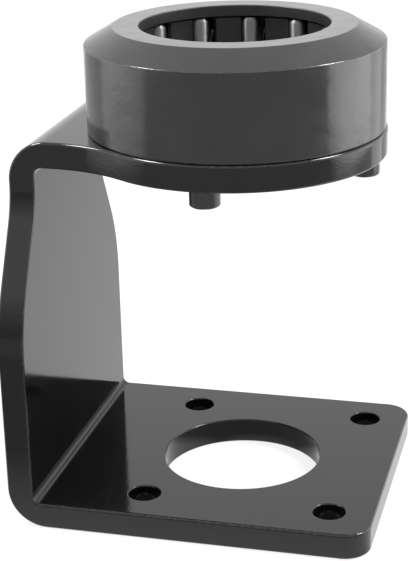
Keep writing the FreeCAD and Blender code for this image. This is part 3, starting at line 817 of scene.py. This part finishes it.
fastening, given, result = new_group(
    "cap_screws", "GeometryNodeTree",
    [("Screw", GEOMETRY, None), ("Screws", WHOLE, SCREWS), ("Circle", FLOAT, SCREW_CIRCLE * MM),
     ("Seat", FLOAT, SCREW_SEAT * MM), ("Head Height", FLOAT, HEAD_HEIGHT * MM),
     ("Socket Flats", FLOAT, SOCKET_FLATS * MM), ("Socket Depth", FLOAT, SOCKET_DEPTH * MM),
     ("Finish", MATERIAL, None)],
    [("Screws", GEOMETRY)])
fastening.is_modifier = True
corner = maths(fastening, "DIVIDE", given["Socket Flats"], 2 * math.cos(math.pi / 6))
deep = maths(fastening, "MULTIPLY", given["Socket Depth"], 2.0)
hexagon = put(fastening, "GeometryNodeMeshCylinder",
              {"Vertices": 6, "Radius": corner, "Depth": deep})
below = maths(fastening, "MULTIPLY", given["Head Height"], -1.0)
below = put(fastening, "ShaderNodeCombineXYZ", {"Z": below}).outputs[0]
broach = put(fastening, "GeometryNodeTransform",
             {"Geometry": hexagon.outputs["Mesh"], "Translation": below})
broached = put(fastening, "GeometryNodeMeshBoolean",
               {"Mesh 1": given["Screw"], "Mesh 2": broach.outputs[0]},
               operation="DIFFERENCE", solver="MANIFOLD")
seat = put(fastening, "ShaderNodeCombineXYZ", {"X": given["Circle"], "Z": given["Seat"]})
stations = put(fastening, "GeometryNodePoints",
               {"Count": given["Screws"], "Position": seat.outputs[0]})
copies = put(fastening, "GeometryNodeInstanceOnPoints",
             {"Points": stations.outputs[0], "Instance": broached.outputs["Mesh"]})
number = put(fastening, "GeometryNodeInputIndex").outputs[0]
around = station_turn(fastening, number, given["Screws"])
spread = put(fastening, "GeometryNodeRotateInstances",
             {"Instances": copies.outputs[0], "Rotation": around, "Local Space": False})
real = put(fastening, "GeometryNodeRealizeInstances", {"Geometry": spread.outputs[0]})
finish = put(fastening, "GeometryNodeSetMaterial",
             {"Geometry": soften(fastening, real.outputs[0]), "Material": given["Finish"]})
fastening.links.new(finish.outputs[0], result["Screws"])
apply_tree(screws, fastening, {"Finish": oxide})
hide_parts(*(f"cap_screw_{number + 1}" for number in range(SCREWS)))
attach(screws, "frame")

# The studio.
# A pale floor in an even white surround, soft lamps, and the photograph's own viewpoint. Grey cards
# that only reflections show stand for the darker parts of a photographer's room.

FLOOR_DROP = 0.1
WORLD_LEVEL = 0.8


def seen_by(tree):
    """1 for the rays that show the background: from the camera, a gloss or a glass."""
    rays = put(tree, "ShaderNodeLightPath").outputs
    seen = maths(tree, "ADD", rays["Is Camera Ray"], rays["Is Glossy Ray"])
    return maths(tree, "ADD", seen, rays["Is Transmission Ray"], clamp=True)


bpy.ops.mesh.primitive_plane_add(size=8.0, location=(0, 0, -FLOOR_DROP * MM))
floor = bpy.context.object
floor.name = "floor"
paper = bpy.data.materials.new("white_floor")
paper.use_nodes = True
tree = paper.node_tree
tree.nodes.clear()
matt = put(tree, "ShaderNodeBsdfDiffuse", {"Color": (0.88, 0.88, 0.88, 1)}).outputs[0]
glow = put(tree, "ShaderNodeEmission", {"Color": (1, 1, 1, 1), "Strength": 1.095}).outputs[0]
shaded = put(tree, "ShaderNodeMixShader", {0: 0.75, 1: matt, 2: glow}).outputs[0]
both = put(tree, "ShaderNodeMixShader", {0: seen_by(tree), 1: matt, 2: shaded}).outputs[0]
put(tree, "ShaderNodeOutputMaterial", {"Surface": both})
floor.data.materials.append(paper)

world = bpy.data.worlds.new("white_surround")
world.use_nodes = True
tree = world.node_tree
lit = scaled(tree, seen_by(tree), 1.0 - WORLD_LEVEL, WORLD_LEVEL)
tree.links.new(lit, tree.nodes["Background"].inputs["Strength"])
tree.nodes["Background"].inputs["Color"].default_value = (1, 1, 1, 1)
bpy.context.scene.world = world
bpy.context.scene.view_settings.view_transform = "Standard"

AZIMUTH = math.radians(15.093)
ELEVATION = math.radians(20.096)
ROLL = math.radians(-1.48)
TARGET = Vector((-12.689, 0.0, 74.363))
DISTANCE = 559.44
LENS = 102.632
PANEL_DISTANCE = 0.34       # lamps and cards are placed in metres
PANEL_TOP = 0.30
EDGE_LAMP_SIDE = 0.42
EDGE_LAMP_HEIGHT = 0.60
HOLE_CARD = 0.005


def add_panel(name, bearing, low, width, level):
    """A soft panel that stands upright round the object; its bearing is from the camera's own."""
    lamp = bpy.data.lights.new(name, "AREA")
    lamp.shape = "RECTANGLE"
    lamp.size, lamp.size_y = width, PANEL_TOP - low
    lamp.energy = 4 * level * width * (PANEL_TOP - low)
    panel = new_piece(name, lamp)
    angle = AZIMUTH - math.pi / 2 + math.radians(bearing)
    panel.location = (PANEL_DISTANCE * math.cos(angle), PANEL_DISTANCE * math.sin(angle),
                      (low + PANEL_TOP) / 2)
    panel.rotation_euler = (math.pi / 2, 0, angle + math.pi / 2)
    panel.visible_camera = False


def add_card(name, corners, level, fade):
    """A grey card that only reflections show: its corners in metres, and how light it is.

    It fades out over a border, so that no reflection ends in a hard line.
    """
    outer = [Vector(corner) for corner in corners]
    inner = []
    for i, corner in enumerate(outer):
        ahead, behind = outer[(i + 1) % 4] - corner, outer[i - 1] - corner
        inner.append(corner + (ahead.normalized() + behind.normalized()) * fade)
    border = [(i, (i + 1) % 4, 4 + (i + 1) % 4, 4 + i) for i in range(4)]
    mesh = bpy.data.meshes.new(name)
    mesh.from_pydata(outer + inner, [], [(4, 5, 6, 7)] + border)
    mesh.attributes.new("share", "FLOAT", "POINT").data.foreach_set("value", [0.0] * 4 + [1.0] * 4)
    card = new_piece(name, mesh)
    grey = bpy.data.materials.new(name)
    grey.use_nodes = True
    tree = grey.node_tree
    tree.nodes.clear()
    share = put(tree, "ShaderNodeAttribute", attribute_name="share").outputs["Fac"]
    clear = put(tree, "ShaderNodeBsdfTransparent").outputs[0]
    shine = put(tree, "ShaderNodeEmission", {"Strength": level}).outputs[0]
    surface = put(tree, "ShaderNodeMixShader", {0: share, 1: clear, 2: shine}).outputs[0]
    put(tree, "ShaderNodeOutputMaterial", {"Surface": surface})
    mesh.materials.append(grey)
    card.visible_camera = False
    card.visible_diffuse = False
    card.visible_transmission = False
    card.visible_shadow = False


def add_floor_card(name, corners, height, level, fade):
    """A card that lies just over the floor. Where two overlap, the higher one shows."""
    add_card(name, [(x, y, height) for x, y in corners], level, fade)


def from_camera(side, front, height):
    """A place given to the right of and in front of the head's axis, as the camera sees it."""
    return (side * math.cos(AZIMUTH) + front * math.sin(AZIMUTH),
            side * math.sin(AZIMUTH) - front * math.cos(AZIMUTH), height)


add_panel("right_panel", bearing=90, low=0.04, width=0.29, level=1.25)
add_panel("right_fill", bearing=123, low=0.0, width=0.12, level=0.6)
add_panel("left_panel", bearing=-92, low=0.04, width=0.28, level=0.5)
for side in (-EDGE_LAMP_SIDE, EDGE_LAMP_SIDE):
    lamp = bpy.data.lights.new("edge_lamp", "AREA")
    lamp.size, lamp.energy = 0.16, 2.6
    edge_lamp = new_piece("edge_lamp", lamp)
    edge_lamp.location = from_camera(side, -0.02, EDGE_LAMP_HEIGHT)
    aim = Vector(from_camera(side, -0.02, EDGE_LAMP_HEIGHT - 0.15))
    edge_lamp.rotation_euler = aim.to_track_quat("Z", "Y").to_euler()
    edge_lamp.visible_camera = False
add_card("front_card", [
    from_camera(-0.9, 0.10, 0.0004), from_camera(0.9, 0.10, 0.0004),
    from_camera(0.9, 1.5, 0.0004), from_camera(-0.9, 1.5, 0.0004)], level=0.52, fade=0.08)
add_card("camera_side", [
    from_camera(-2.1, 1.2, -0.85), from_camera(2.1, 1.2, -0.85),
    from_camera(2.1, 1.2, 0.85), from_camera(-2.1, 1.2, 0.85)], level=0.36, fade=0.7)
add_floor_card("near_card", [(-0.40, -0.045), (-0.40, -0.31), (0.14, -0.31), (0.14, -0.045)],
               height=0.0006, level=0.36, fade=0.06)
add_card("dark_card", [
    (0.69, 2.5, 1.05), (1.08, 2.5, 1.05), (1.08, 2.5, 1.54), (0.69, 2.5, 1.54)],
    level=0.14, fade=0.04)
add_floor_card("bore_card", [(-0.020, -0.01), (0.020, -0.01), (0.020, 0.030), (-0.020, 0.030)],
               height=0.0006, level=0.30, fade=0.008)
for row in BOLT_ROWS:
    for side in BOLT_SIDES:
        low_x, low_y = row * MM - HOLE_CARD, side * MM - HOLE_CARD
        high_x, high_y = row * MM + HOLE_CARD, side * MM + HOLE_CARD
        add_floor_card("hole_card", [
            (low_x, low_y), (high_x, low_y), (high_x, high_y), (low_x, high_y)],
            height=0.0006, level=0.10, fade=0.001)
add_floor_card("left_front_floor", [(-0.24, -0.45), (-0.70, -0.45), (-0.70, 0.10), (-0.24, 0.10)],
               height=0.0005, level=0.48, fade=0.06)
add_floor_card("left_floor", [(-0.25, 0.02), (-0.95, 0.02), (-0.80, 0.80), (-0.20, 0.45)],
               height=0.0004, level=0.62, fade=0.05)
add_floor_card("right_floor", [(0.10, 0.36), (0.10, 0.95), (0.85, 0.85), (0.45, 0.10)],
               height=0.0004, level=0.70, fade=0.05)
back = Vector((math.sin(AZIMUTH) * math.cos(ELEVATION),
               -math.cos(AZIMUTH) * math.cos(ELEVATION), math.sin(ELEVATION)))
level = Vector((math.cos(AZIMUTH), math.sin(AZIMUTH), 0.0))
upright = back.cross(level)
right = level * math.cos(ROLL) + upright * math.sin(ROLL)
up = upright * math.cos(ROLL) - level * math.sin(ROLL)
camera = bpy.data.objects.new("camera", bpy.data.cameras.new("camera"))
bpy.context.scene.collection.objects.link(camera)
camera.data.lens = LENS
camera.data.sensor_width = 36.0
camera.data.clip_start = 0.01
camera.data.clip_end = 50.0
camera.matrix_world = (Matrix.Translation((TARGET + back * DISTANCE) * MM)
                       @ Matrix((right, up, back)).transposed().to_4x4())
bpy.context.scene.camera = camera
